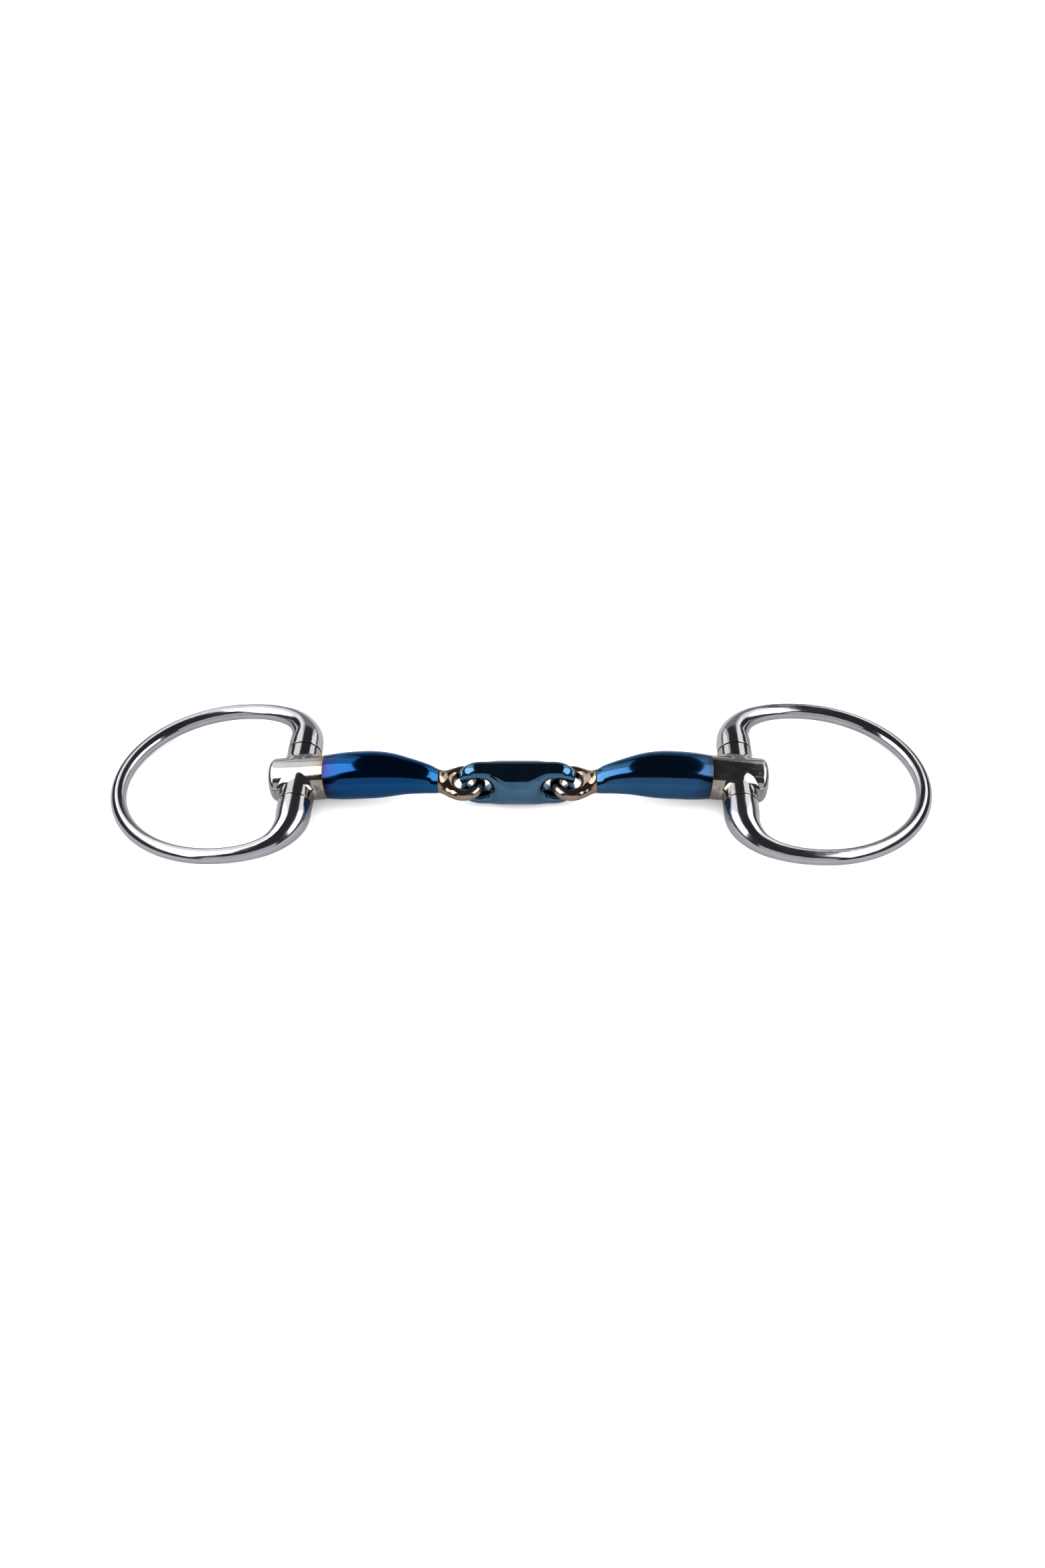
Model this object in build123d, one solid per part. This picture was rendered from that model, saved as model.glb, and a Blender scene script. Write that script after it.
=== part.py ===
from build123d import *
import math
import os

# Eggbutt snaffle bit with a double-jointed mouthpiece, lying flat on a table.
# X runs along the mouthpiece, Y runs along the ring pivots (away from the front), Z is up.
# The origin is on the table under the middle of the whole bit. All sizes in millimetres.

# --- overall ---
MOUTH_WIDTH = 135.0        # between the inner faces of the two ring necks
NECK_D = 11.6              # thick butt of a ring where it meets the T-head
PIVOT_X = MOUTH_WIDTH / 2 + NECK_D / 2
PIVOT_Z = 8.2              # height of the ring pivots over the table

FOLD = 2.0                 # degrees, each arm lies folded back a little from a straight line

# --- T-head: stem crossed by a barrel ---
BARREL_D = 11.7
BARREL_LEN = 23.2
STEM_D = 14.7
STEM_OUT = 9.4             # from the pivot axis to the rounded outer end
STEM_IN = 9.7              # from the pivot axis to the joint with the cannon
STEM_TILT = 7.5            # degrees, the stem climbs towards the cannon
STEM_END_R = 2.1
TEE_FILLET = 1.3
SPIGOT_D = 8.0
SPIGOT_LEN = 9.0

# --- pivot pin inside the barrel ---
PIN_D = 6.0
PIN_LEN = 34.0
PIN_CLEARANCE = 0.05       # radial, the ring turns with the pin inside the barrel
RING_GAP = 0.30            # slit between a barrel end and the ring neck

# --- ring: round wire that swells into two necks ---
WIRE_D = 5.3
RING_OUT = 62.6            # pivot axis to the wire centre at the outer side
RING_BACK = 24.4           # pivot axis to the widest place of the ring
RING_HALF = 33.2           # half the ring height at the wire centre
NECK_STRAIGHT = 16.0       # straight neck ends here, measured along the pivot from the middle
# stations of the curved neck: outward, along the pivot, radius
NECK_STATIONS = [
    (0.2, 19.2, 5.5),
    (1.8, 23.6, 4.55),
    (5.2, 28.0, 3.45),
    (11.0, 31.2, 2.9),
    (17.3, 32.75, 2.72),
]

# --- eye: round loop that carries the centre link ---
EYE_R = 5.2
EYE_WIRE_D = 4.1
EYE_X = 18.0               # loop centre from the middle of the bit
EYE_RISE = 0.7             # the butt sits this much over the plane of the loop
EYE_ROOT_D = 8.0
EYE_ROOT_X = 26.4          # joint with the cannon
EYE_SPIGOT_D = 4.4
EYE_SPIGOT_LEN = 8.0

# --- centre link: thick oval with two holes ---
LINK_Z = 8.2
LINK_BACK = 0.3            # the link lies a little behind the line of the eyes
LINK_ROLL = 8.0            # degrees, the holes look a little upwards at the front
HOLE_X = 12.6
HOLE_W = 6.6
HOLE_H = 5.2
# the hole widens to both faces: distance from the middle of the link, widening on each side
HOLE_FLARE = [(0.0, 0.0), (3.0, 0.6), (5.0, 2.3), (7.5, 6.0)]
EYE_ROOM = 0.45            # free space between an eye and the groove that it runs in
# stations of the link body: along X, half height, half thickness
LINK_STATIONS = [
    (0.0, 7.85, 6.70),
    (4.5, 7.85, 6.60),
    (8.5, 7.90, 6.35),
    (12.6, 7.85, 5.80),
    (16.2, 7.10, 4.70),
    (18.4, 5.45, 3.35),
]
LINK_TIP = 19.4

EYE_Z = LINK_Z - 0.1

# --- cannon: bowed, thickest towards the cheek ---
# stations: distance from the pivot axis, height over the table, diameter
CANNON_STATIONS = [
    (14.0, 10.05, 15.6),
    (20.0, 10.80, 16.0),
    (26.0, 11.30, 15.8),
    (32.0, 11.35, 14.3),
    (37.5, 10.80, 12.0),
    (42.5, 9.85, 10.1),
]
CANNON_DROP = 10.0         # degrees, slope of the cannon where it meets the eye


def cyl_x(x0, x1, radius, y=0.0, z=0.0):
    """Cylinder along X between two X positions."""
    plane = Plane(origin=(x0, y, z), x_dir=(0, 1, 0), z_dir=(1, 0, 0))
    return Solid.extrude(plane * Circle(radius).face(), Vector(x1 - x0, 0, 0))


def cyl_y(length, radius, x=0.0, z=0.0):
    """Cylinder along Y, centred on Y = 0."""
    return Pos(x, 0, z) * Rot(90, 0, 0) * Cylinder(radius, length)


def disc(origin, direction, radius):
    """Round section square to a direction."""
    return Plane(origin=origin, x_dir=(0, 1, 0), z_dir=direction) * Circle(radius)


def make_t_head():
    """Stem along +X towards the cannon, barrel along Y, drawn about the pivot axis."""
    tee = cyl_x(-STEM_OUT, STEM_IN, STEM_D / 2) + cyl_y(BARREL_LEN, BARREL_D / 2)
    seams = tee.edges().filter_by(lambda e: e.geom_type != GeomType.CIRCLE and e.geom_type != GeomType.LINE)
    tee = fillet(seams, TEE_FILLET)
    outer_edge = tee.edges().filter_by(GeomType.CIRCLE).sort_by(Axis.X)[0]
    tee = fillet(outer_edge, STEM_END_R)
    tee = tee + cyl_x(STEM_IN - 0.5, STEM_IN + SPIGOT_LEN, SPIGOT_D / 2)
    tee = Rot(0, -STEM_TILT, 0) * tee
    return tee - cyl_y(BARREL_LEN + 2, PIN_D / 2 + PIN_CLEARANCE)


def make_pin():
    """Plain round pin along Y with a small chamfer at both ends."""
    pin = cyl_y(PIN_LEN, PIN_D / 2)
    return chamfer(pin.edges().filter_by(GeomType.CIRCLE), 0.4)


def ring_outer_wire():
    """Outer part of the ring: wire swept round half an ellipse."""
    centre = Plane(origin=(-RING_BACK, 0, 0))
    path = Edge.make_ellipse(RING_OUT - RING_BACK, RING_HALF, centre, start_angle=90, end_angle=270)
    section = Plane(origin=path @ 0, x_dir=(0, 0, 1), z_dir=path % 0) * Circle(WIRE_D / 2)
    return sweep(section, path=path)


def ring_neck():
    """One neck: straight butt on the pivot axis, then a bend that thins down to the wire."""
    start = BARREL_LEN / 2 + RING_GAP
    straight = Plane(origin=(0, start, 0), x_dir=(1, 0, 0), z_dir=(0, 1, 0)) * Circle(NECK_D / 2)
    neck = extrude(straight, amount=NECK_STRAIGHT - start)
    line = Spline(
        [(0, NECK_STRAIGHT)] + [(-u, v) for u, v, r in NECK_STATIONS] + [(-RING_BACK, RING_HALF)],
        tangents=[(0, 1), (-1, 0)],
    )
    places = [(0, NECK_STRAIGHT, NECK_D / 2)] + NECK_STATIONS + [(RING_BACK, RING_HALF, WIRE_D / 2)]
    sections = []
    for u, v, r in places:
        tangent = line.tangent_at(Vector(-u, v, 0))
        frame = Plane(origin=(-u, v, 0), x_dir=(0, 0, 1), z_dir=tangent)
        sections.append(frame * Circle(r))
    return neck + loft(sections)


def make_ring():
    """Left ring about its pivot axis, wire towards -X, sagging to the table."""
    near = ring_neck()
    far = mirror(near, about=Plane.XZ)
    ring = near + ring_outer_wire() + far
    ring = ring - cyl_y(PIN_LEN, PIN_D / 2)
    sag = math.degrees(math.asin((PIVOT_Z - WIRE_D / 2) / RING_OUT))
    return Rot(0, -sag, 0) * ring


def make_cannon():
    """Left cannon between the T-head and the eye, in the frame of the whole bit."""
    joint_x = -PIVOT_X + STEM_IN * math.cos(math.radians(STEM_TILT))
    joint_z = PIVOT_Z + STEM_IN * math.sin(math.radians(STEM_TILT))
    places = [(joint_x, joint_z, STEM_D)]
    places += [(-PIVOT_X + s, z, d) for s, z, d in CANNON_STATIONS]
    places += [(-EYE_ROOT_X, EYE_Z + EYE_RISE, EYE_ROOT_D)]
    stem_dir = (math.cos(math.radians(STEM_TILT)), 0, math.sin(math.radians(STEM_TILT)))
    root_dir = (math.cos(math.radians(CANNON_DROP)), 0, -math.sin(math.radians(CANNON_DROP)))
    line = Spline([(x, 0, z) for x, z, d in places], tangents=[stem_dir, root_dir])
    sections = []
    for x, z, d in places:
        sections.append(disc((x, 0, z), line.tangent_at(Vector(x, 0, z)), d / 2))
    root_x, root_z, root_d = places[-1]
    sections[-1] = disc((root_x, 0, root_z), (1, 0, 0), root_d / 2)
    body = loft(sections)
    socket = Pos(-PIVOT_X, 0, PIVOT_Z) * Rot(0, -STEM_TILT, 0)
    body = body - socket * cyl_x(STEM_IN - 0.5, STEM_IN + SPIGOT_LEN, SPIGOT_D / 2)
    return body - cyl_x(
        -EYE_ROOT_X - EYE_SPIGOT_LEN, -EYE_ROOT_X + 0.5, EYE_SPIGOT_D / 2, z=EYE_Z + EYE_RISE
    )


def make_eye():
    """Left eye: round level loop, thick root and a spigot that sits in the cannon."""
    reach = EYE_ROOT_X - EYE_X
    loop = Torus(EYE_R, EYE_WIRE_D / 2)
    butt = disc((-reach, 0, EYE_RISE), (1, 0, 0), EYE_ROOT_D / 2)
    waist = Plane(origin=(-reach + 2.2, 0, EYE_RISE / 2), x_dir=(0, 1, 0), z_dir=(1, 0, 0))
    foot = Plane(origin=(-EYE_R + 0.2, 0, 0), x_dir=(0, 1, 0), z_dir=(1, 0, 0))
    root = loft([butt, waist * Ellipse(4.2, 2.9), foot * Ellipse(4.4, 1.9)])
    eye = loop + root
    eye = eye + cyl_x(-reach - EYE_SPIGOT_LEN, -reach + 0.5, EYE_SPIGOT_D / 2, z=EYE_RISE)
    return Pos(-EYE_X, 0, EYE_Z) * eye


def link_section(x, half_height, half_thickness):
    """Oval section of the link square to X."""
    plane = Plane(origin=(x, 0, 0), x_dir=(0, 0, 1), z_dir=(1, 0, 0))
    return plane * Ellipse(half_height, half_thickness)


def make_flared_hole():
    """Oval hole along Y that widens to both faces, as the solid to cut away."""
    places = [(-y, grow) for y, grow in reversed(HOLE_FLARE[1:])] + HOLE_FLARE
    sections = []
    for y, grow in places:
        plane = Plane(origin=(0, y, 0), x_dir=(1, 0, 0), z_dir=(0, 1, 0))
        sections.append(plane * Ellipse(HOLE_W / 2 + grow, HOLE_H / 2 + grow))
    return loft(sections)


def make_link():
    """Centre link, rolled a little, with a flared hole and a groove for the eye at each end."""
    stations = [(-x, a, b) for x, a, b in reversed(LINK_STATIONS[1:])] + LINK_STATIONS
    body = loft([link_section(x, a, b) for x, a, b in stations])
    tip_x, tip_a, tip_b = LINK_STATIONS[-1]
    tip = loft([link_section(tip_x, tip_a, tip_b), link_section(LINK_TIP, tip_a - 1.4, tip_b - 1.1)])
    body = body + tip + mirror(tip, about=Plane.YZ)
    hole = make_flared_hole()
    for x in (-HOLE_X, HOLE_X):
        body = body - Pos(x, 0, 0) * hole
    body = Pos(0, LINK_BACK, LINK_Z) * Rot(-LINK_ROLL, 0, 0) * body
    groove = Torus(EYE_R, EYE_WIRE_D / 2 + EYE_ROOM)
    for x in (-EYE_X, EYE_X):
        body = body - Pos(x, 0, EYE_Z) * groove
    return body


def at_left(shape):
    """Move a piece drawn about the pivot axis to the left pivot of a straight bit."""
    return Pos(-PIVOT_X, 0, PIVOT_Z) * shape


def folded(shape):
    """Swing a piece of the left arm about the upright axis of its eye."""
    return Pos(-EYE_X, 0, 0) * Rot(0, 0, -FOLD) * Pos(EYE_X, 0, 0) * shape


def save(shape, name):
    shape.label = name
    export_step(shape, f"parts/{name}.step")


def single(shape):
    """One solid out of a boolean result."""
    solids = shape.solids()
    if len(solids) != 1:
        raise ValueError(f"expected one solid, got {len(solids)}")
    return solids[0]


def main():
    os.makedirs("parts", exist_ok=True)
    left = {
        "ring": at_left(make_ring()),
        "pivot_pin": at_left(make_pin()),
        "t_head": at_left(make_t_head()),
        "cannon": make_cannon(),
        "eye": make_eye(),
    }
    left = {name: folded(single(shape)) for name, shape in left.items()}
    box = left["ring"].bounding_box()
    centring = Pos(0, -(box.min.Y + box.max.Y) / 2, 0)
    for name, shape in left.items():
        solid = centring * shape
        save(solid, "left_" + name)
        save(mirror(solid, about=Plane.YZ), "right_" + name)
    save(centring * single(make_link()), "centre_link")


main()
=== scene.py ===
import itertools
import math

import bpy
import numpy as np
from mathutils import Matrix, Vector


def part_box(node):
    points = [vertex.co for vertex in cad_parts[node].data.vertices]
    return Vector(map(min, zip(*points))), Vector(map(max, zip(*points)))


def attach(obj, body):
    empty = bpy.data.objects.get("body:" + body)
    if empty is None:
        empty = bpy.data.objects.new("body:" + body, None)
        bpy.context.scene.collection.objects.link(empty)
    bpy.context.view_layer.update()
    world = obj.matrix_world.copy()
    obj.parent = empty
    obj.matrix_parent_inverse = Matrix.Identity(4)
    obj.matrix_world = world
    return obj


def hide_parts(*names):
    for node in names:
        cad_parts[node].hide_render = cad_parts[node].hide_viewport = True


# Eggbutt snaffle bit with a double-jointed mouthpiece, lying flat on a pale floor.
# Shapes are drawn in millimetres about the left arm and mirrored to the right one.

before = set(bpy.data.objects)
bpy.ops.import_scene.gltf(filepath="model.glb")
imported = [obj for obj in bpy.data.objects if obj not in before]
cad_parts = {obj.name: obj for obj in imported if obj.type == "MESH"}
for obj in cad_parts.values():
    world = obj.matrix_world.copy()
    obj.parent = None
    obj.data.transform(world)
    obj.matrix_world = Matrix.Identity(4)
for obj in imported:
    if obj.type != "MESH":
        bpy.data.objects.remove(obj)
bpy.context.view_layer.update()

MM = 0.001

# --- places, all read from the frame ---
pin_low, pin_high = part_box("left_pivot_pin")
eye_low, eye_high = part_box("left_eye")
link_low, link_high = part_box("centre_link")

# --- sizes of the object, in millimetres ---
EDGE_R = 0.10               # broken edges at the slit between ring and barrel
WELD_EDGE_R = 0.06          # broken edges at both ends of a cannon

# --- ring ---
WIRE_R = 2.65
NECK_R = 5.8
NECK_START = 12.05          # butt end of the neck, along the pivot from its middle
NECK_STRAIGHT = (NECK_START, 13.4, 14.8)
NECK_EVEN = 4.0             # length of neck that has an even thickness
PIN_R = 3.0
PIN_HALF = 17.0
PIN_CHAMFER = 0.3
RING_OUT = 62.6             # pivot to the wire centre at the outer side
RING_BACK = 24.4            # pivot to the widest place of the ring
RING_HALF = 33.2            # half the ring height at the wire centre
RING_LOOPS = 900
RING_AROUND = 72
RADIUS_BLUR = 7.0           # loops over which a step in the wire's thickness fades
# bend of the neck: outward, along the pivot, radius
NECK_BEND = [(0.0, 16.8, 5.79), (0.2, 19.2, 5.5), (1.8, 23.6, 4.55), (5.2, 28.0, 3.45), (11.0, 31.2, 2.9),
             (17.3, 32.75, 2.72), (22.8, 33.18, 2.65)]

# --- T-head ---
STEM_R = 7.35
STEM_OUT = 9.4
STEM_IN = 9.7
STEM_TILT = math.radians(7.5)
BARREL_R = 5.85
BARREL_HALF = 11.45
TEE_FILLET = 1.3
STEM_END_R = 2.1
PIN_PLAY = 0.05
HEAD_GRID = ((-10.7, -12.2, -9.0), (11.2, 12.2, 9.4), 0.19)     # low corner, high corner, step

# --- cannon: distance from the pivot, height, diameter ---
CANNON = [(14.0, 10.05, 15.6), (20.0, 10.80, 16.0), (26.0, 11.30, 15.8),
          (32.0, 11.35, 14.3), (37.5, 10.80, 12.0), (42.5, 9.85, 10.1)]
CANNON_DROP = math.radians(10.0)
CANNON_LOOPS = 240
SQUARE_END = 3.0            # the last loops turn square to X over this length

# --- eye ---
EYE_R = 5.2
EYE_WIRE_R = 2.05
EYE_REACH = 8.4             # from the loop centre to the joint with the cannon
EYE_RISE = 0.7
EYE_ROOT_R = 4.0
FOOT_LENGTH = 4.2           # the root flattens into the loop over this length
FOOT_HALF_WIDTH = 4.6
FOOT_HALF_HEIGHT = 1.9
FOOT_X = -4.3               # the root ends inside the wire of the loop
FOOT_END_R = 0.8
FOOT_FILLET = 2.0
EYE_GRID = ((-8.9, -7.9, -4.2), (7.9, 7.9, 5.6), 0.15)
FOLD = math.radians(2.0)

# --- centre link: along, half height, half thickness ---
LINK = [(0.0, 7.85, 6.70), (4.5, 7.85, 6.60), (8.5, 7.90, 6.35), (12.6, 7.85, 5.80),
        (16.2, 7.10, 4.70), (18.4, 5.45, 3.35)]
LINK_TIP_SLOPES = (-1.15, -0.60)
LINK_TIP = 19.4
LINK_TIP_R = 1.5
LINK_ROLL = math.radians(8.0)
HOLE_X = 12.6
HOLE_HALF_WIDTH = 3.3
HOLE_HALF_HEIGHT = 2.6
HOLE_LIP = 5.3              # rounding of the hole towards the tip of the link
HOLE_LIP_INNER = 6.6        # and towards its middle
LIP_CHANGE_X = 13.6         # from here inwards, one rounding fades into the other
LIP_CHANGE = 5.0
EYE_ROOM = 0.45             # free space between an eye and the groove that it runs in
GROOVE_LIP = 2.2
LINK_GRID = ((-19.8, -7.3, -8.5), (19.8, 7.3, 8.5), 0.19)

pivot = (pin_low + pin_high) / 2 / MM
link_centre = (link_low + link_high) / 2 / MM
eye_x = eye_high.x / MM - EYE_R - EYE_WIRE_R
eye_y = (eye_low.y + eye_high.y) / 2 / MM
eye_z = (eye_low.z + eye_high.z) / 2 / MM - EYE_RISE


# ---------------------------------------------------------------- curves and fields

def cubic(t, values, at, start_slope=None, end_slope=None):
    """Smooth cubic curve through values at t, read at the places at."""
    t = np.asarray(t, float)
    values = np.asarray(values, float).reshape(len(t), -1)
    n = len(t)
    h = np.diff(t)
    a = np.eye(n)
    b = np.zeros_like(values)
    for i in range(1, n - 1):
        a[i, i - 1:i + 2] = h[i - 1], 2 * (h[i - 1] + h[i]), h[i]
        b[i] = 6 * ((values[i + 1] - values[i]) / h[i] - (values[i] - values[i - 1]) / h[i - 1])
    if start_slope is not None:
        a[0, :2] = 2 * h[0], h[0]
        b[0] = 6 * ((values[1] - values[0]) / h[0] - np.asarray(start_slope))
    if end_slope is not None:
        a[-1, -2:] = h[-1], 2 * h[-1]
        b[-1] = 6 * (np.asarray(end_slope) - (values[-1] - values[-2]) / h[-1])
    m = np.linalg.solve(a, b)
    k = np.clip(np.searchsorted(t, at) - 1, 0, n - 2)
    left = (np.asarray(at) - t[k])[:, None]
    right = (t[k + 1] - np.asarray(at))[:, None]
    w = h[k][:, None]
    return ((m[k] * right ** 3 + m[k + 1] * left ** 3) / (6 * w)
            + (values[k] / w - m[k] * w / 6) * right
            + (values[k + 1] / w - m[k + 1] * w / 6) * left)


def soften(values, spread):
    """Evenly spaced values blurred by a bell of that many samples, ends held."""
    reach = int(spread * 3)
    bell = np.exp(-0.5 * (np.arange(-reach, reach + 1) / spread) ** 2)
    padded = np.pad(values, reach, mode="edge")
    return np.convolve(padded, bell / bell.sum(), mode="valid")


def ease(t):
    """Rises from 0 to 1 as t does, with soft ends."""
    t = np.clip(t, 0, 1)
    return t * t * (3 - 2 * t)


def join_round(a, b, r):
    """Union of two fields with a round fillet."""
    return np.maximum(r, np.minimum(a, b)) - np.hypot(np.maximum(r - a, 0), np.maximum(r - b, 0))


def cut_round(a, b, r):
    """Intersection of two fields with a rounded edge."""
    return np.minimum(-r, np.maximum(a, b)) + np.hypot(np.maximum(r + a, 0), np.maximum(r + b, 0))


def ellipse(p, q, half_p, half_q):
    """Distance from an ellipse, near enough close to its edge."""
    near = np.hypot(p / half_p, q / half_q)
    far = np.hypot(p / half_p ** 2, q / half_q ** 2)
    return near * (near - 1) / np.maximum(far, 1e-6)


# ---------------------------------------------------------------- meshes

RELAX_ROUNDS = 6            # each round evens out the points of a skin
PULLS = 2                   # and then pulls them back to the surface this many times
SHARP = math.radians(32)

def gradient(field, p, h=0.01):
    """Slope of a field at the places p."""
    steps = []
    for axis in range(3):
        shift = np.zeros(3)
        shift[axis] = h
        steps.append((field(p + shift) - field(p - shift)) / (2 * h))
    return np.stack(steps, -1)


def skin(field, low, high, step):
    """Points, quads and normals on the zero level of a field, which lies inside the box low to high."""
    axes = [np.arange(a, b + step, step) for a, b in zip(low, high)]
    value = field(np.stack(np.meshgrid(*axes, indexing="ij"), -1))
    inside = value < 0
    size = np.array(value.shape) - 1
    corners = list(itertools.product((0, 1), repeat=3))
    corners_inside = np.zeros(size, int)
    for corner in corners:
        corners_inside += inside[tuple(slice(c, c + s) for c, s in zip(corner, size))]
    cells = np.argwhere((corners_inside > 0) & (corners_inside < 8))
    number = np.full(size, -1)
    number[tuple(cells.T)] = np.arange(len(cells))
    total = np.zeros((len(cells), 3))
    count = np.zeros(len(cells))
    for corner in corners:
        for axis in range(3):
            if corner[axis]:
                continue
            other = np.array(corner)
            other[axis] = 1
            va = value[tuple((cells + corner).T)]
            vb = value[tuple((cells + other).T)]
            crossed = (va < 0) != (vb < 0)
            place = np.tile(np.array(corner, float), (len(cells), 1))
            place[:, axis] = np.where(crossed, va / np.where(crossed, va - vb, 1), 0)
            total += place * crossed[:, None]
            count += crossed
    points = (cells + total / count[:, None]) * step + np.array(low)
    quads = []
    for axis in range(3):
        u, v = np.eye(3, dtype=int)[(axis + 1) % 3], np.eye(3, dtype=int)[(axis + 2) % 3]
        first = np.take(inside, range(size[axis]), axis)
        second = np.take(inside, range(1, size[axis] + 1), axis)
        edges = np.argwhere(first != second)
        leaving = first[tuple(edges.T)]
        quad = np.stack([number[tuple((edges - d).T)] for d in (u + v, v, 0 * u, u)], 1)
        quads.append(np.where(leaving[:, None], quad, quad[:, ::-1]))
    quads = np.vstack(quads)
    pairs = np.vstack([quads[:, [i, (i + 1) % 4]] for i in range(4)])
    for rounds in range(RELAX_ROUNDS):
        mean = np.zeros_like(points)
        hits = np.zeros(len(points))
        for a, b in ((0, 1), (1, 0)):
            np.add.at(mean, pairs[:, a], points[pairs[:, b]])
            np.add.at(hits, pairs[:, a], 1)
        points = points + 0.5 * (mean / hits[:, None] - points)
        for pull in range(PULLS):
            g = gradient(field, points)
            points = points - (field(points) / np.maximum((g ** 2).sum(1), 1e-9))[:, None] * g
    g = gradient(field, points)
    return points, quads, g / np.linalg.norm(g, axis=1)[:, None]


def tube(centres, sides, ups, radii, around=96):
    """Closed tube: loops about centres in the plane of sides and ups. Zero radii close the ends."""
    angle = np.linspace(0, 2 * math.pi, around, endpoint=False)
    loops = (centres[:, None] + radii[:, None, None]
             * (np.cos(angle)[None, :, None] * sides[:, None] + np.sin(angle)[None, :, None] * ups[:, None]))
    points = np.vstack([loops.reshape(-1, 3), centres[:1], centres[-1:]])
    a = np.arange(around)
    b = (a + 1) % around
    quads = [np.stack([i * around + a, i * around + b, (i + 1) * around + b, (i + 1) * around + a], 1)
             for i in range(len(centres) - 1)]
    last = (len(centres) - 1) * around
    first_fan = np.stack([np.full(around, last + around), b, a], 1)
    last_fan = np.stack([np.full(around, last + around + 1), last + a, last + b], 1)
    return points, np.vstack(quads).tolist() + first_fan.tolist() + last_fan.tolist()


def placed(points, flip):
    """Left-arm points in millimetres, folded back and put in the frame; mirrored if flip."""
    c, s = math.cos(FOLD), math.sin(FOLD)
    x = points[:, 0] - eye_x
    y = points[:, 1]
    out = np.stack([eye_x + c * x + s * y, eye_y - s * x + c * y, points[:, 2]], 1)
    if flip:
        out[:, 0] *= -1
    return out * MM


def build(name, points, shape, material, body, node, flip=False):
    """Makes a piece that replaces a CAD node, from placed points and the rest of its shape."""
    faces, normals, grain, warm = shape
    faces = [list(f)[::-1] for f in faces] if flip else [list(f) for f in faces]
    mesh = bpy.data.meshes.new(name)
    mesh.from_pydata(points.tolist(), [], faces)
    mesh.shade_smooth()
    if normals is None:
        mesh.set_sharp_from_angle(angle=SHARP)
    else:
        mesh.normals_split_custom_set_from_vertices(normals.tolist())
    layers = (("grain", "FLOAT_VECTOR", "vector", grain), ("warm", "FLOAT", "value", warm))
    for label, kind, member, values in layers:
        layer = mesh.attributes.new(label, kind, "POINT")
        layer.data.foreach_set(member, values.astype(np.float32).ravel())
    mesh.materials.append(material)
    piece = bpy.data.objects.new(name, mesh)
    bpy.context.scene.collection.objects.link(piece)
    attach(piece, body)
    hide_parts(node)


# ---------------------------------------------------------------- shapes, left arm before folding

pivot_x = eye_x - math.hypot(pivot.x - eye_x, pivot.y - eye_y)
pivot_z = pivot.z


def ring_line():
    """Middle line of the ring (outward, along the pivot), the distance along it and the wire's radius."""
    stations = [(0.0, v) for v in NECK_STRAIGHT] + [(u, v) for u, v, r in NECK_BEND]
    for turn in np.radians(np.arange(0, 91, 10)):
        stations.append((RING_BACK + (RING_OUT - RING_BACK) * math.sin(turn), RING_HALF * math.cos(turn)))
    half = np.array(stations)
    whole = np.vstack([half, half[-2::-1] * (1, -1)])
    t = np.concatenate([[0], np.cumsum(np.linalg.norm(np.diff(whole, axis=0), axis=1))])
    length = np.linspace(0, t[-1], RING_LOOPS)
    line = cubic(t, whole, length, start_slope=(0, 1), end_slope=(0, -1))
    line[-1] = whole[-1]
    bend = t[len(NECK_STRAIGHT):]
    known = [(0.0, NECK_R), (NECK_EVEN, NECK_R)]
    known += [(place, r) for place, (u, v, r) in zip(bend, NECK_BEND)]
    known.append((bend[len(NECK_BEND)], WIRE_R))
    radius = np.interp(np.minimum(length, t[-1] - length), *np.array(known).T)
    return line, length, soften(radius, RADIUS_BLUR)


def butt_rim(neck_r):
    """Loops from the bottom of the pin hole out to the rounded rim of the butt: distance in, radius."""
    depth = PIN_HALF - NECK_START
    rim = [(depth, 0.02), (depth, PIN_R), (PIN_CHAMFER, PIN_R), (0.0, PIN_R + PIN_CHAMFER)]
    for turn in np.radians((0, 22, 45, 68)):
        rim.append((EDGE_R * (1 - math.cos(turn)), neck_r - EDGE_R * (1 - math.sin(turn))))
    return rim


def ring_shape():
    """Ring that slopes down from its pivot until the outer side of the wire lies on the table."""
    line, length, radius = ring_line()
    along = np.gradient(line, axis=0)
    along /= np.linalg.norm(along, axis=1)[:, None]
    rim = butt_rim(radius[0])
    keep = np.minimum(length, length[-1] - length) > EDGE_R
    start = [(line[0] + along[0] * d, along[0], r, d) for d, r in rim]
    wire = list(zip(line[keep], along[keep], radius[keep], length[keep]))
    end = [(line[-1] - along[-1] * d, along[-1], r, length[-1] - d) for d, r in reversed(rim)]
    centres, tangents, radii, at = (np.array(column) for column in zip(*start, *wire, *end))
    zero = 0 * at
    flat = np.stack([-centres[:, 0], centres[:, 1], zero], 1)
    sides = np.stack([-tangents[:, 1], -tangents[:, 0], zero], 1)
    ups = np.tile((0.0, 0.0, 1.0), (len(at), 1))
    points, faces = tube(flat, sides, ups, radii, RING_AROUND)
    straight = np.stack([at, zero, zero], 1)
    grain, unused = tube(straight, np.tile((0.0, 1.0, 0.0), (len(at), 1)), ups, radii, RING_AROUND)
    sag = math.asin((pivot_z - WIRE_R) / RING_OUT)
    c, s = math.cos(sag), math.sin(sag)
    x, z = points[:, 0], points[:, 2]
    points = np.stack([pivot_x + c * x - s * z, points[:, 1], pivot_z + s * x + c * z], 1)
    return points, faces, None, grain, 0 * grain[:, 0]


def along_stem(p):
    """Places about the pivot axis with the first number along the tilted stem."""
    c, s = math.cos(STEM_TILT), math.sin(STEM_TILT)
    return np.stack([p[..., 0] * c + p[..., 2] * s, p[..., 1], p[..., 2] * c - p[..., 0] * s], -1)


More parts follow.
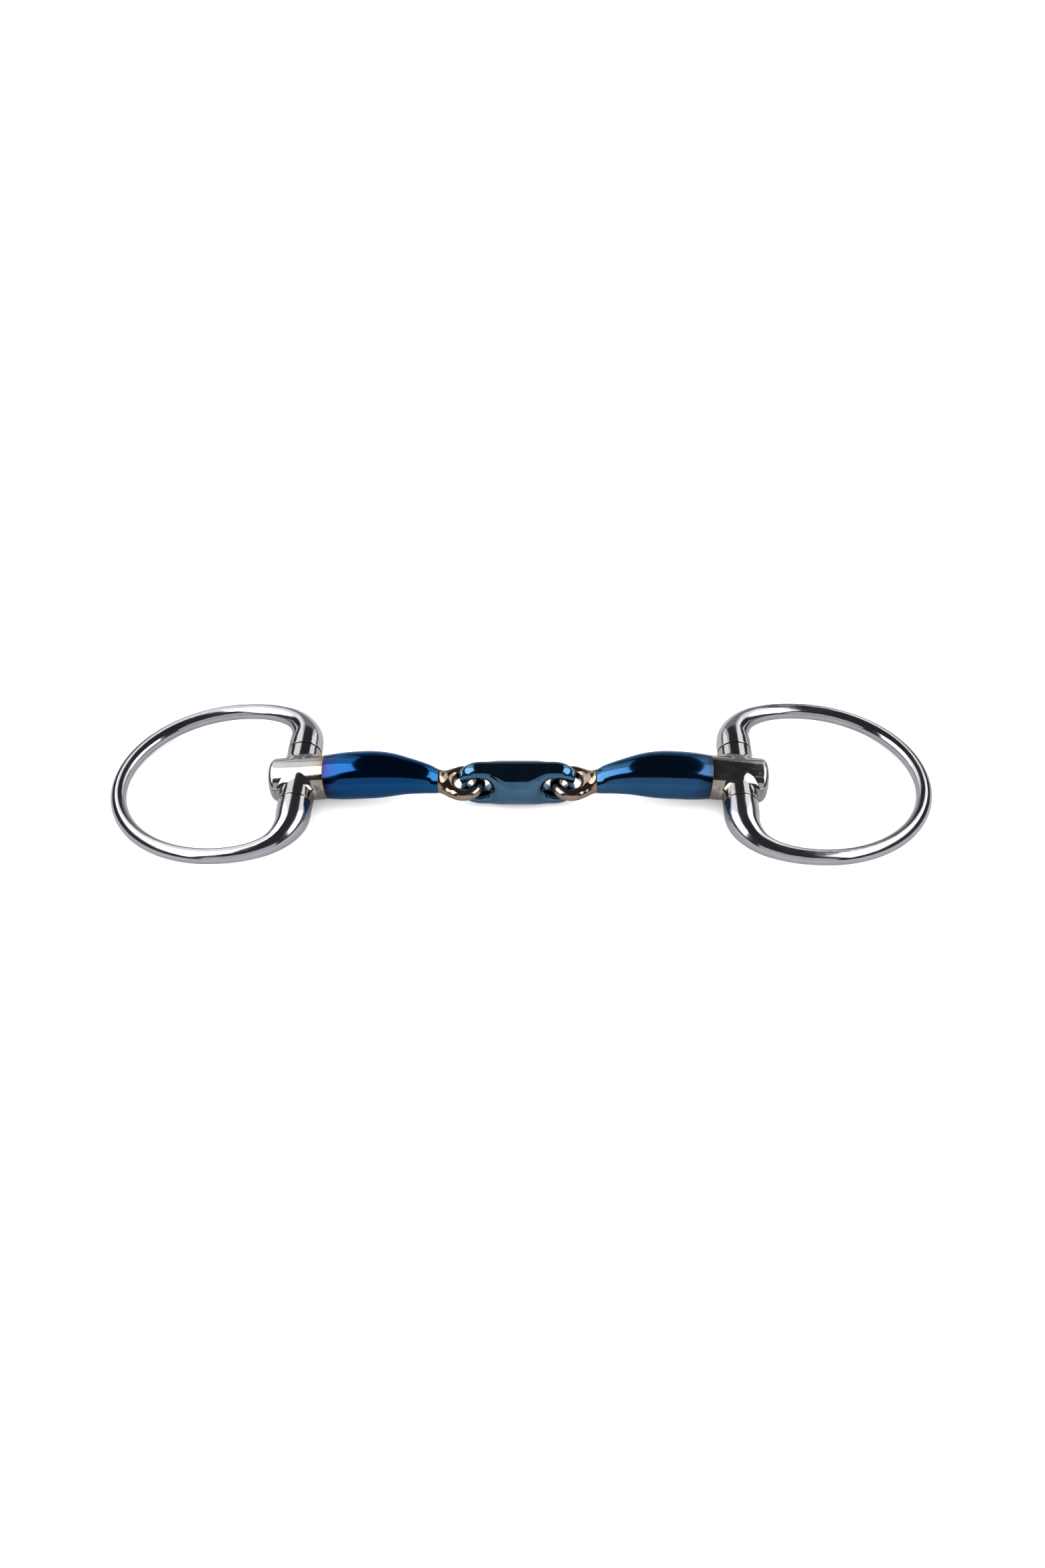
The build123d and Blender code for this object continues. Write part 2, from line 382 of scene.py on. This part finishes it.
def head_field(p):
    """T-head about the pivot axis: stem towards +X, barrel along Y, bored for the pin."""
    tilted = along_stem(p)
    stem = cut_round(np.hypot(p[..., 1], tilted[..., 2]) - STEM_R, -STEM_OUT - tilted[..., 0], STEM_END_R)
    stem = cut_round(stem, tilted[..., 0] - STEM_IN, WELD_EDGE_R)
    from_axis = np.hypot(p[..., 0], p[..., 2])
    barrel = cut_round(from_axis - BARREL_R, np.abs(p[..., 1]) - BARREL_HALF, EDGE_R)
    return cut_round(join_round(stem, barrel, TEE_FILLET), PIN_R + PIN_PLAY - from_axis, EDGE_R)


def head_shape():
    """T-head at its pivot. Its grain runs along the stem."""
    points, quads, normals = skin(head_field, *HEAD_GRID)
    grain = along_stem(points)
    return points + (pivot_x, 0, pivot_z), quads, normals, grain, STEM_IN - grain[:, 0]


def cannon_shape():
    """Bowed cannon between the T-head and the eye."""
    joint = (pivot_x + STEM_IN * math.cos(STEM_TILT), pivot_z + STEM_IN * math.sin(STEM_TILT), 2 * STEM_R)
    root = (eye_x - EYE_REACH, eye_z + EYE_RISE, 2 * EYE_ROOT_R)
    x, z, d = np.array([joint] + [(pivot_x + s, z, d) for s, z, d in CANNON] + [root]).T
    at = np.linspace(x[0], x[-1], CANNON_LOOPS)
    height = cubic(x, z, at, [math.tan(STEM_TILT)], [-math.tan(CANNON_DROP)])[:, 0]
    radius = cubic(x, d, at)[:, 0] / 2
    lean = np.arctan(np.gradient(height, at))
    lean *= np.clip((x[-1] - at) / SQUARE_END, 0, 1)
    zero = 0 * at
    ups = np.stack([-np.sin(lean), zero, np.cos(lean)], 1)
    sides = np.tile((0.0, -1.0, 0.0), (len(at), 1))
    centres = np.stack([at, zero, height], 1)
    points, faces = tube(centres, sides, ups, radius)
    straight = np.stack([at - at[0], zero, zero], 1)
    grain, unused = tube(straight, sides, np.tile((0.0, 0.0, 1.0), (len(at), 1)), radius)
    return points, faces, None, grain, grain[:, 0]


def eye_field(p):
    """Loop in the level plane with a root that thickens towards the cannon."""
    x, y, z = p[..., 0], p[..., 1], p[..., 2]
    loop = np.hypot(np.hypot(x, y) - EYE_R, z) - EYE_WIRE_R
    share = ease((x + EYE_REACH) / FOOT_LENGTH)
    half_y = EYE_ROOT_R + share * (FOOT_HALF_WIDTH - EYE_ROOT_R)
    half_z = EYE_ROOT_R + share * (FOOT_HALF_HEIGHT - EYE_ROOT_R)
    root = ellipse(y, z - EYE_RISE * (1 - share), half_y, half_z)
    root = cut_round(root, x - FOOT_X, FOOT_END_R)
    both = join_round(loop, root, FOOT_FILLET)
    return cut_round(both, -EYE_REACH - x, WELD_EDGE_R)


def eye_shape():
    """Eye at the end of the cannon."""
    points, quads, normals = skin(eye_field, *EYE_GRID)
    return points + (eye_x, 0, eye_z), quads, normals, points, points[:, 0] + EYE_REACH


def rolled(p):
    """Places about the middle of the link, turned with its roll."""
    c, s = math.cos(LINK_ROLL), math.sin(LINK_ROLL)
    return np.stack([p[..., 0], c * p[..., 1] + s * p[..., 2], c * p[..., 2] - s * p[..., 1]], -1)


def link_field(p):
    """Thick oval body with two soft-lipped holes across it and a groove at each end for the eye."""
    x = np.abs(p[..., 0])
    s, a, b = np.array(LINK).T
    table = np.linspace(0, s[-1], 200)
    halves = cubic(s, np.stack([a, b], 1), table, (0.0, 0.0), LINK_TIP_SLOPES)
    half_z = np.interp(x, table, halves[:, 0])
    half_y = np.interp(x, table, halves[:, 1])
    body = ellipse(p[..., 2], p[..., 1], half_z, half_y)
    body = cut_round(body, x - LINK_TIP, LINK_TIP_R)
    hole = ellipse(x - HOLE_X, p[..., 2], HOLE_HALF_WIDTH, HOLE_HALF_HEIGHT)
    inward = ease((LIP_CHANGE_X - x) / LIP_CHANGE)
    body = cut_round(body, -hole, HOLE_LIP + inward * (HOLE_LIP_INNER - HOLE_LIP))
    turned = rolled(p)
    y = turned[..., 1] + link_centre.y - eye_y
    z = turned[..., 2] + link_centre.z - eye_z
    from_eye = np.hypot(np.hypot(x + eye_x, y) - EYE_R, z)
    return cut_round(body, EYE_WIRE_R + EYE_ROOM - from_eye, GROOVE_LIP)


def link_shape():
    """Link in its own place between the two eyes. Its grain is its place before the roll."""
    points, quads, normals = skin(link_field, *LINK_GRID)
    return rolled(points) + np.array(link_centre), quads, rolled(normals), points, 0 * points[:, 0]


# ---------------------------------------------------------------- materials

# places of a Mix node's colour sockets
MIX_A = 6
MIX_B = 7
MIX_RESULT = 2


class Tree:
    """Short way to write a node material."""

    def __init__(self, name):
        self.material = bpy.data.materials.new(name)
        self.material.use_nodes = True
        self.nodes = self.material.node_tree.nodes
        self.links = self.material.node_tree.links
        self.shader = self.nodes["Principled BSDF"]

    def feed(self, socket, value):
        if isinstance(value, bpy.types.NodeSocket):
            self.links.new(value, socket)
        else:
            socket.default_value = value

    def attribute(self, name):
        node = self.nodes.new("ShaderNodeAttribute")
        node.attribute_name = name
        return node

    def stretched(self, scale, shift=(0, 0, 0)):
        node = self.nodes.new("ShaderNodeMapping")
        self.links.new(self.grain, node.inputs["Vector"])
        node.inputs["Scale"].default_value = scale
        node.inputs["Location"].default_value = shift
        return node.outputs[0]

    def noise(self, vector, detail=2.0, rough=0.5):
        node = self.nodes.new("ShaderNodeTexNoise")
        self.links.new(vector, node.inputs["Vector"])
        node.inputs["Scale"].default_value = 1.0
        node.inputs["Detail"].default_value = detail
        node.inputs["Roughness"].default_value = rough
        return node.outputs["Fac"]

    def span(self, value, low, high, to_low, to_high):
        node = self.nodes.new("ShaderNodeMapRange")
        self.links.new(value, node.inputs[0])
        for socket, number in zip(node.inputs[1:5], (low, high, to_low, to_high)):
            socket.default_value = number
        return node.outputs[0]

    def math(self, kind, a, b):
        node = self.nodes.new("ShaderNodeMath")
        node.operation = kind
        self.feed(node.inputs[0], a)
        self.feed(node.inputs[1], b)
        return node.outputs[0]

    def ramp(self, value, stops):
        node = self.nodes.new("ShaderNodeValToRGB")
        self.links.new(value, node.inputs[0])
        bar = node.color_ramp
        while len(bar.elements) < len(stops):
            bar.elements.new(1.0)
        for element, (place, colour) in zip(bar.elements, stops):
            element.position = place
            element.color = (*colour, 1)
        return node.outputs[0]

    def blend(self, factor, a, b, kind="MIX"):
        node = self.nodes.new("ShaderNodeMix")
        node.data_type = "RGBA"
        node.blend_type = kind
        for place, value in ((0, factor), (MIX_A, a), (MIX_B, b)):
            self.feed(node.inputs[place], (*value, 1) if isinstance(value, tuple) else value)
        return node.outputs[MIX_RESULT]

    def bump(self, height, distance, before=None):
        node = self.nodes.new("ShaderNodeBump")
        node.inputs["Distance"].default_value = distance
        self.links.new(height, node.inputs["Height"])
        if before is not None:
            self.links.new(before, node.inputs["Normal"])
        return node.outputs[0]


WAVE_DEPTH = 0.00003        # metres, soft waves that hand polishing leaves
STREAK_DEPTH = 0.0000009    # metres, fine brushed lines


def metal(name, colour, rough, streak=1.0, wave=1.0, shift=0.0, coat=0.0, edge=(1, 1, 1)):
    """Hand-polished metal with waves, streaks and scratches. colour(tree, warm, patches) gives its tint."""
    t = Tree(name)
    t.grain = t.attribute("grain").outputs["Vector"]
    warm = t.attribute("warm").outputs["Fac"]
    at = (shift, shift * 0.7, shift * 1.3)
    patches = t.noise(t.stretched((0.10, 0.22, 0.22), at), detail=3.0)
    waves = t.noise(t.stretched((0.28, 0.45, 0.45), at), detail=1.0)
    streaks = t.noise(t.stretched((0.5, 7.0, 7.0), at), detail=4.0, rough=0.65)
    cross = t.noise(t.stretched((6.0, 0.9, 0.9), at), detail=3.0, rough=0.6)
    scratches = t.math("MAXIMUM", t.span(streaks, 0.60, 0.68, 0, 1), t.span(cross, 0.64, 0.72, 0, 0.7))
    worn = t.span(streaks, 0.35, 0.65, 1.0, 1.0 - 0.10 * streak)
    t.feed(t.shader.inputs["Base Color"], t.blend(1.0, colour(t, warm, patches), worn, "MULTIPLY"))
    t.shader.inputs["Metallic"].default_value = 1.0
    smooth = t.span(patches, 0.35, 0.7, rough * 0.7, rough * 1.5)
    t.feed(t.shader.inputs["Roughness"], t.math("ADD", smooth, t.math("MULTIPLY", scratches, 0.07 * streak)))
    normal = t.bump(waves, WAVE_DEPTH * wave)
    normal = t.bump(streaks, STREAK_DEPTH * streak, normal)
    t.feed(t.shader.inputs["Normal"], normal)
    t.shader.inputs["Specular Tint"].default_value = (*edge, 1)
    t.shader.inputs["Coat Weight"].default_value = coat
    t.shader.inputs["Coat Roughness"].default_value = 0.06
    return t.material


def steel_colour(t, warm, patches):
    """Plain polished steel of the rings."""
    return t.blend(t.span(patches, 0.3, 0.7, 0, 1), (0.42, 0.415, 0.445), (0.49, 0.485, 0.51))


def pin_shade_colour(t, warm, patches):
    """Steel painted dark as the shade in the slit beside the barrel, the only place it is seen."""
    return t.blend(t.span(patches, 0.3, 0.7, 0, 1), (0.10, 0.10, 0.105), (0.17, 0.17, 0.175))


def head_colour(t, warm, patches):
    """Polished steel with a straw heat tint at the weld."""
    base = t.blend(t.span(patches, 0.3, 0.7, 0, 1), (0.38, 0.372, 0.372), (0.50, 0.485, 0.47))
    edge = t.math("ADD", t.span(warm, 0, 6.0, 0, 1), t.span(patches, 0.3, 0.7, -0.12, 0.12))
    tint = t.ramp(edge, [(0.0, (0.80, 0.62, 0.50)), (0.15, (0.92, 0.79, 0.66)), (0.5, (0.97, 0.91, 0.83)),
                         (0.8, (1, 0.98, 0.96)), (1.0, (1, 1, 1))])
    return t.blend(1.0, base, tint, "MULTIPLY")


def blued(weld, deep, bright):
    """Heat-blued iron: its colour at the weld, then along the cannon, then towards the eye."""
    def colour(t, warm, patches):
        edge = t.math("ADD", t.span(warm, 0, 40.0, 0, 1), t.span(patches, 0.3, 0.7, -0.02, 0.02))
        near = tuple(0.5 * (a + b) for a, b in zip(weld, deep))
        tint = t.ramp(edge, [(0.0, weld), (0.05, near), (0.14, deep), (0.70, deep), (1.0, bright)])
        return t.blend(t.span(patches, 0.35, 0.75, 0, 0.3), tint, bright)
    return colour


def link_colour(t, warm, patches):
    """Darker blue of the centre link."""
    return t.blend(t.span(patches, 0.3, 0.7, 0, 1), (0.038, 0.115, 0.20), (0.058, 0.150, 0.25))


def eye_colour(t, warm, patches):
    """Warm nickel, browner at the weld."""
    base = t.blend(t.span(patches, 0.3, 0.7, 0, 1), (0.28, 0.215, 0.17), (0.40, 0.33, 0.275))
    tint = t.ramp(t.span(warm, 0, 3.0, 0, 1), [(0.0, (0.80, 0.72, 0.66)), (1.0, (1, 1, 1))])
    return t.blend(1.0, base, tint, "MULTIPLY")


materials = {
    "polished_steel": metal("polished_steel", steel_colour, 0.12),
    "head_steel": metal("head_steel", head_colour, 0.09, streak=2.2, wave=1.2),
    # the pin's dark colour is painted shade for the slit beside the barrel
    "pin_steel": metal("pin_steel", pin_shade_colour, 0.30),
    "warm_nickel": metal("warm_nickel", eye_colour, 0.12),
    "blued_link": metal("blued_link", link_colour, 0.10, wave=0.5, coat=0.35),
}
left_blue = blued(weld=(0.018, 0.016, 0.095), deep=(0.001, 0.051, 0.178), bright=(0.006, 0.088, 0.205))
right_blue = blued(weld=(0.001, 0.016, 0.050), deep=(0.010, 0.070, 0.18), bright=(0.030, 0.110, 0.22))
cannon_materials = {
    "left": metal("blued_iron_left", left_blue, 0.09, streak=1.4, wave=0.6, coat=0.15,
                  edge=(0.60, 0.76, 0.88)),
    "right": metal("blued_iron_right", right_blue, 0.10, streak=1.4, wave=0.6, shift=37.0, coat=0.30,
                   edge=(0.50, 0.65, 0.80)),
}


# ---------------------------------------------------------------- assembly

# pieces that both sides have: name, shape, material slot, CAD node, body
SIDE_PIECES = (
    ("cheek_ring", ring_shape(), "polished_steel", "ring", "cheek_ring"),
    ("blued_cannon", cannon_shape(), "blued_iron", "cannon", "arm"),
    ("turned_t_head", head_shape(), "head_steel", "t_head", "arm"),
    ("turned_eye", eye_shape(), "warm_nickel", "eye", "arm"),
)

for side, flip in (("left", False), ("right", True)):
    for piece, (points, faces, normals, grain, warm), slot, node, body in SIDE_PIECES:
        material = cannon_materials[side] if slot == "blued_iron" else materials[slot]
        if normals is not None:
            normals = (placed(points + normals, flip) - placed(points, flip)) / MM
        build(f"{side}_{piece}", placed(points, flip), (faces, normals, grain, warm), material,
              f"{side}_{body}", f"{side}_{node}", flip)
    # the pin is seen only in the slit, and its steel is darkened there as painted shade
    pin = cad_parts[side + "_pivot_pin"]
    pin.data.materials.clear()
    pin.data.materials.append(materials["pin_steel"])

points, *link = link_shape()
build("oval_link", points * MM, link, materials["blued_link"], "centre_link", "centre_link")


# ---------------------------------------------------------------- floor, light and camera

def panel(name, centre, facing, width, height, glow, seen_by_gloss=True, seen_by_floor=False):
    """Flat studio light with an even glow, at centre and turned towards facing."""
    light = bpy.data.lights.new(name, "AREA")
    light.shape = "RECTANGLE"
    light.size = width
    light.size_y = height
    light.energy = glow * math.pi * width * height
    lamp = bpy.data.objects.new(name, light)
    lamp.location = centre
    lamp.rotation_euler = (Vector(facing) - Vector(centre)).to_track_quat("-Z", "Y").to_euler()
    lamp.visible_camera = False
    lamp.visible_glossy = seen_by_gloss
    lamp.visible_diffuse = seen_by_floor
    bpy.context.scene.collection.objects.link(lamp)


# softbox parts on each side, in metres: distance, middle along Y, width, lower edge, glow
SOFTBOX_PARTS = {
    "softbox": (0.230, -0.025, 0.35, 0.085, 1.3),
    "softbox_core": (0.228, -0.020, 0.31, 0.100, 3.0),
    "softbox_tail": (0.229, 0.275, 0.25, 0.090, 1.6),
    "softbox_far_tail": (0.229, 0.500, 0.20, 0.090, 0.8),
}
LEFT_TOP = 0.48             # upper edge of the softbox on the left
RIGHT_TOP = 0.33            # and of the lower one on the right


def light_studio():
    """Softboxes at both sides, dim cards in front and behind, and an overhead light for the floor alone."""
    for side, top in ((-1, LEFT_TOP), (1, RIGHT_TOP)):
        for part, (distance, y, width, low, glow) in SOFTBOX_PARTS.items():
            middle = (low + top) / 2
            panel(part, (side * distance, y, middle), (0, y, middle), width, top - low, glow)
    panel("front_card", (0, -0.62, 0.20), (0, 0, 0.20), 0.8, 0.38, 0.75)
    panel("back_card", (0, 0.75, 0.17), (0, 0, 0.17), 1.1, 0.34, 0.30)
    panel("overhead", (0, 0, 1.3), (0, 0, 0), 1.5, 1.5, 0.35, seen_by_gloss=False, seen_by_floor=True)


def make_room():
    """Walls that light the floor white and stay dark in reflections."""
    world = bpy.data.worlds.new("studio")
    world.use_nodes = True
    sky = world.node_tree
    path = sky.nodes.new("ShaderNodeLightPath")
    room = sky.nodes.new("ShaderNodeMix")
    room.data_type = "RGBA"
    room.inputs[MIX_A].default_value = (3.0, 3.0, 3.0, 1)
    room.inputs[MIX_B].default_value = (0.045, 0.045, 0.052, 1)
    sky.links.new(path.outputs["Is Glossy Ray"], room.inputs[0])
    sky.links.new(room.outputs[MIX_RESULT], sky.nodes["Background"].inputs["Color"])
    bpy.context.scene.world = world


FLOOR_REACH = 3.0
FLOOR_Z = -0.0001           # just under the metal, metres


def lay_floor():
    """Pale paper, dimmer in reflections than the metal's lights."""
    r = FLOOR_REACH
    floor_mesh = bpy.data.meshes.new("floor")
    floor_mesh.from_pydata([(-r, -r, FLOOR_Z), (r, -r, FLOOR_Z), (r, r, FLOOR_Z), (-r, r, FLOOR_Z)],
                           [], [(0, 1, 2, 3)])
    paper = Tree("pale_paper")
    paper.grain = paper.nodes.new("ShaderNodeTexCoord").outputs["Object"]
    paper_tone = paper.noise(paper.stretched((40, 40, 40)), detail=4.0)
    paper_seen = paper.blend(paper_tone, (0.86, 0.86, 0.865), (0.88, 0.88, 0.885))
    mirrored = paper.nodes.new("ShaderNodeLightPath").outputs["Is Glossy Ray"]
    paper.feed(paper.shader.inputs["Base Color"], paper.blend(mirrored, paper_seen, (0.31, 0.305, 0.317)))
    paper.shader.inputs["Roughness"].default_value = 0.9
    paper.shader.inputs["Specular IOR Level"].default_value = 0.1
    floor_mesh.materials.append(paper.material)
    floor = bpy.data.objects.new("floor", floor_mesh)
    bpy.context.scene.collection.objects.link(floor)


CAMERA_PLACE = (0.0235, -0.4115, 0.4500)
CAMERA_LENS = 41.437
SENSOR_WIDTH = 36.0
YAW = math.radians(-3.066)
PITCH = math.radians(47.216)
ROLL = math.radians(-2.222)


def aim_camera():
    """Camera in front of the bit, looking down on it."""
    ahead = Vector((math.sin(YAW) * math.cos(PITCH), math.cos(YAW) * math.cos(PITCH), -math.sin(PITCH)))
    level = ahead.cross(Vector((0, 0, 1))).normalized()
    above = level.cross(ahead)
    right_axis = level * math.cos(ROLL) + above * math.sin(ROLL)
    up_axis = above * math.cos(ROLL) - level * math.sin(ROLL)
    camera_data = bpy.data.cameras.new("camera")
    camera_data.lens = CAMERA_LENS
    camera_data.sensor_width = SENSOR_WIDTH
    camera = bpy.data.objects.new("camera", camera_data)
    turn = Matrix((right_axis, up_axis, -ahead)).transposed().to_4x4()
    camera.matrix_world = Matrix.Translation(CAMERA_PLACE) @ turn
    bpy.context.scene.collection.objects.link(camera)
    bpy.context.scene.camera = camera


light_studio()
make_room()
lay_floor()
aim_camera()
bpy.context.scene.view_settings.view_transform = "Standard"
